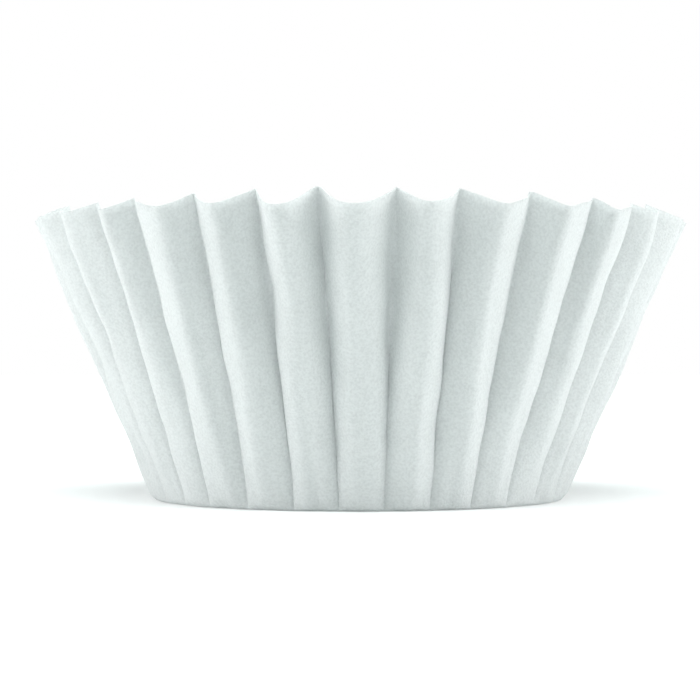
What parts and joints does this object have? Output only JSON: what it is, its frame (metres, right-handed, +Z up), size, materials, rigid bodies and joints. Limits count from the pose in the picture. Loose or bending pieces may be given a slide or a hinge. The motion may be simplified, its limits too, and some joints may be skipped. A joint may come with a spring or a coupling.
{
  "type": "basket coffee filter",
  "caption": "White paper basket filter for coffee: a flat round base and a fluted wall that leans outwards, pressed from one sheet.",
  "frame": {"origin": "middle of the base's underside, where the filter stands", "axes": "+Z up through the open rim, -Y towards the viewer of the picture, +X to the viewer's right"},
  "size_m": [0.1297, 0.1302, 0.0575],
  "materials": {
    "paper": "matt, fine crepe"
  },
  "bodies": {
    "root": {"paper_filter": "paper"}
  },
  "joints": []
}
